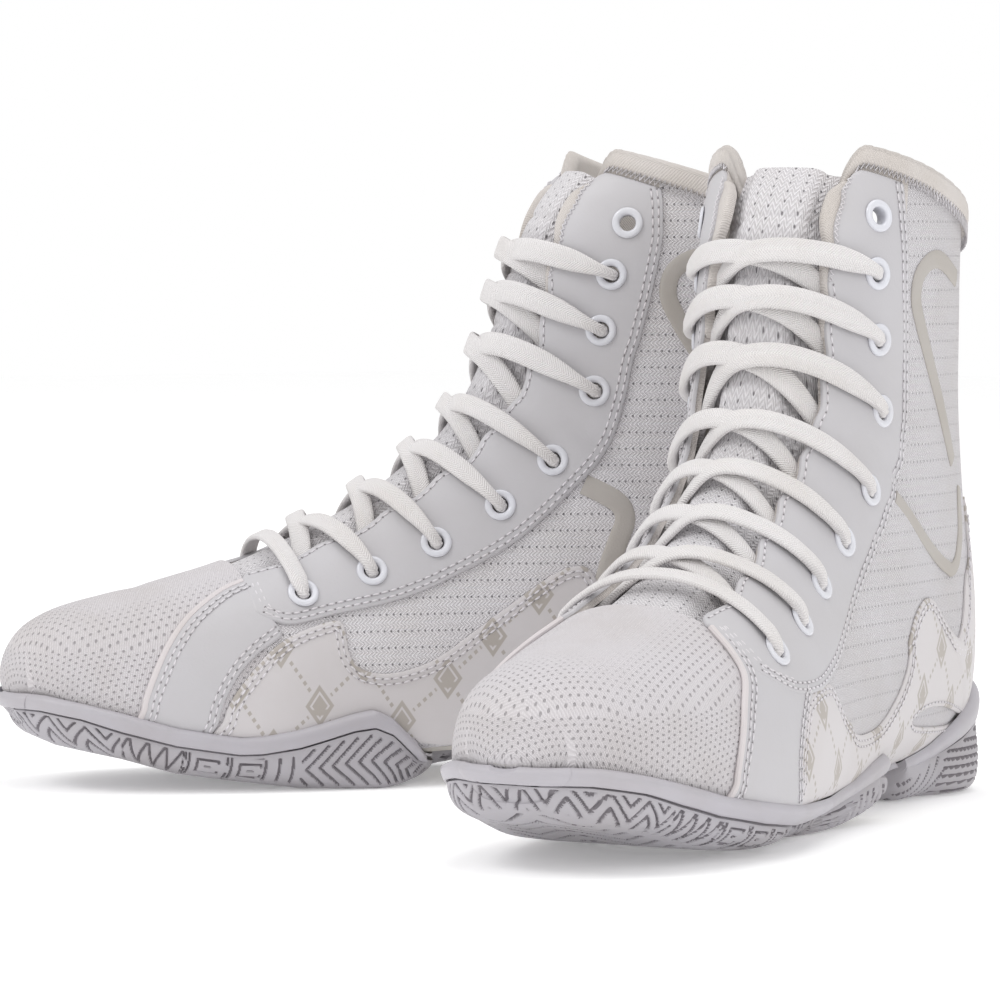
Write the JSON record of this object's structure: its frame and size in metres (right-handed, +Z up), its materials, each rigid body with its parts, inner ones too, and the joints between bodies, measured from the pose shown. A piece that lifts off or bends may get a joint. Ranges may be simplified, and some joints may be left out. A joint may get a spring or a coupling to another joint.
{
  "type": "boxing boots",
  "caption": "Pair of white high lace-up boxing boots with mesh panels, leather eyestays, over-lacing, loose tongues, padded collars and split rubber soles with toe spring.",
  "frame": {"origin": "middle of the pair's footprint, on the floor", "axes": "+Z up, toes towards -Y, the wearer's left boot at +X; the boots stand toed out"},
  "size_m": [0.3199, 0.311, 0.2025],
  "materials": {
    "mesh": "matte",
    "leather": "satin",
    "printed_leather": "satin",
    "film": "matte",
    "tread_rubber": "matte",
    "band_rubber": "satin",
    "board": "matte",
    "stiffener": "matte",
    "sock_fabric": "matte",
    "lining": "matte",
    "eyelet_enamel": "satin",
    "lace": "matte",
    "aglet": "satin"
  },
  "bodies": {
    "left_boot": {"left_outsole_fore": "tread_rubber", "left_midsole_fore": "band_rubber", "left_outsole_heel": "tread_rubber", "left_midsole_heel": "band_rubber", "left_shank": "band_rubber", "left_insole_board": "board", "left_toe_puff": "stiffener", "left_heel_stiffener": "stiffener", "left_vamp": "mesh", "left_vamp_stay": "leather", "left_eyestay_lateral": "leather", "left_eyestay_medial": "leather", "left_quarter_lateral": "mesh", "left_quarter_medial": "mesh", "left_saddle_lateral": "printed_leather", "left_saddle_medial": "printed_leather", "left_heel_counter": "printed_leather", "left_backstay": "leather", "left_film": "film", "left_collar_binding": "lining", "left_collar_lining": "lining", "left_eyelets": "eyelet_enamel", "left_lace": "lace", "left_lace_ends": "lace", "left_aglets": "aglet"},
    "left_tongue_body": {"left_tongue": "mesh"},
    "left_sockliner_body": {"left_sockliner": "sock_fabric"},
    "right_boot": {"right_outsole_fore": "tread_rubber", "right_midsole_fore": "band_rubber", "right_outsole_heel": "tread_rubber", "right_midsole_heel": "band_rubber", "right_shank": "band_rubber", "right_insole_board": "board", "right_toe_puff": "stiffener", "right_heel_stiffener": "stiffener", "right_vamp": "mesh", "right_vamp_stay": "leather", "right_eyestay_lateral": "leather", "right_eyestay_medial": "leather", "right_quarter_lateral": "mesh", "right_quarter_medial": "mesh", "right_saddle_lateral": "printed_leather", "right_saddle_medial": "printed_leather", "right_heel_counter": "printed_leather", "right_backstay": "leather", "right_film": "film", "right_collar_binding": "lining", "right_collar_lining": "lining", "right_eyelets": "eyelet_enamel", "right_lace": "lace", "right_lace_ends": "lace", "right_aglets": "aglet"},
    "right_tongue_body": {"right_tongue": "mesh"},
    "right_sockliner_body": {"right_sockliner": "sock_fabric"}
  },
  "joints": [
    {"name": "right_boot_lift", "type": "slide", "parent": "left_boot", "child": "right_boot", "axis": [0, 0, 1], "range_m": [0, 0.25]},
    {"name": "left_tongue_lean", "type": "hinge", "parent": "left_boot", "child": "left_tongue_body", "pos_m": [0.1084, -0.0776, 0.066], "axis": [-0.9278, -0.373, 0], "range_deg": [0, 9], "stiffness_Nm_per_rad": 0.6, "springref_deg": -14.32},
    {"name": "left_sockliner_lift", "type": "hinge", "parent": "left_boot", "child": "left_sockliner_body", "pos_m": [0.1317, -0.1436, 0.035], "axis": [0.9278, 0.373, 0], "range_deg": [0, 5]},
    {"name": "right_tongue_lean", "type": "hinge", "parent": "right_boot", "child": "right_tongue_body", "pos_m": [-0.107, -0.0459, 0.066], "axis": [-0.9107, 0.4131, 0], "range_deg": [0, 9], "stiffness_Nm_per_rad": 0.6, "springref_deg": -14.32},
    {"name": "right_sockliner_lift", "type": "hinge", "parent": "right_boot", "child": "right_sockliner_body", "pos_m": [-0.1332, -0.1108, 0.035], "axis": [0.9107, -0.4131, 0], "range_deg": [0, 5]}
  ]
}
